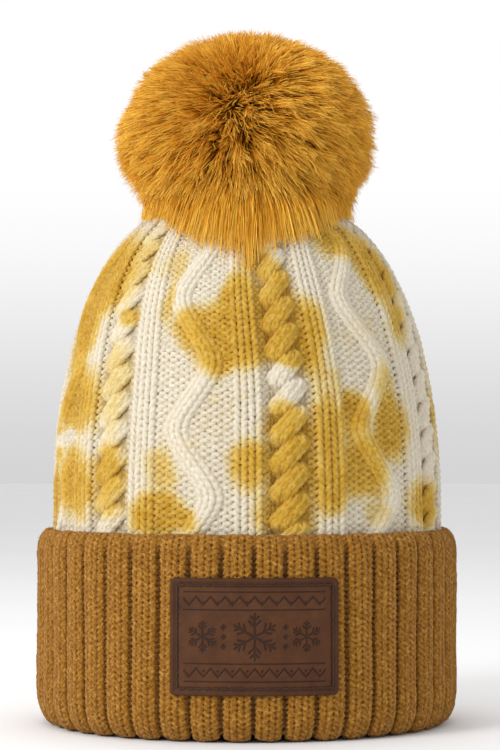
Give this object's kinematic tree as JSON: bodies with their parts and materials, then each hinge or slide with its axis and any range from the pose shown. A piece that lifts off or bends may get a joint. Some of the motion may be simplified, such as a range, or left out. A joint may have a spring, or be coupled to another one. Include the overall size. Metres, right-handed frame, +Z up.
{
  "type": "pom pom beanie",
  "caption": "Cable-knit winter beanie with a folded ribbed cuff, a sewn leather-look patch, a soft lining and a faux fur pompom on a press stud.",
  "frame": {"origin": "centre of the head opening, level with the bottom of the cuff's fold", "axes": "+Z up through the crown, -Y to the front where the patch is, +X to the right seen from the front"},
  "size_m": [0.162, 0.1493, 0.267],
  "materials": {
    "dyed_knit": "cable knit, dip-dyed gold on cream",
    "cuff_knit": "ribbed knit, mustard brown",
    "knit_thread": "twisted thread",
    "fleece": "short brushed fleece",
    "patch_leather": "dark brown, matt grain, embossed",
    "patch_thread": "waxed dark thread",
    "label_tape": "woven satin tape",
    "felt": "pressed felt",
    "snap_metal": "brushed, antique",
    "spring_wire": "drawn wire",
    "fur_pile": "long faux fur",
    "fibre_fill": "loose polyester fibre"
  },
  "bodies": {
    "hat": {"knit_body": "dyed_knit", "rib_cuff": "cuff_knit", "cuff_joining_seam": "knit_thread", "cuff_tacks": "knit_thread", "back_seam": "knit_thread", "crown_gather_thread": "knit_thread", "fleece_lining": "fleece", "lining_stitches": "knit_thread", "leather_patch": "patch_leather", "patch_stitches": "patch_thread", "care_label_stitches": "knit_thread", "crown_disc": "felt", "snap_socket": "snap_metal", "snap_socket_cap": "snap_metal"},
    "spring": {"snap_spring": "spring_wire"},
    "stud": {"snap_stud": "snap_metal", "stud_cap": "snap_metal", "pompom_base": "felt"},
    "shank": {"thread_shank": "knit_thread"},
    "pompom": {"pompom_fur": "fur_pile", "pompom_fill": "fibre_fill", "pompom_drawstring": "knit_thread"},
    "label": {"care_label": "label_tape"}
  },
  "joints": [
    {"name": "pompom_swivel", "type": "hinge", "parent": "hat", "child": "spring", "pos_m": [0, 0, 0.2018], "axis": [0, 0, 1], "continuous": true},
    {"name": "pompom_pull_off", "type": "slide", "parent": "spring", "child": "stud", "axis": [0, 0, 1], "range_m": [0, 0.03]},
    {"name": "pompom_nod", "type": "hinge", "parent": "stud", "child": "shank", "pos_m": [0, 0, 0.2088], "axis": [1, 0, 0], "range_deg": [-10, 10], "stiffness_Nm_per_rad": 0.08},
    {"name": "pompom_sway", "type": "hinge", "parent": "shank", "child": "pompom", "pos_m": [0, 0, 0.2088], "axis": [0, 1, 0], "range_deg": [-10, 10], "stiffness_Nm_per_rad": 0.08},
    {"name": "care_label_flap", "type": "hinge", "parent": "hat", "child": "label", "pos_m": [0.0646, 0, 0.046], "axis": [0, 1, 0], "range_deg": [0, 80]}
  ]
}
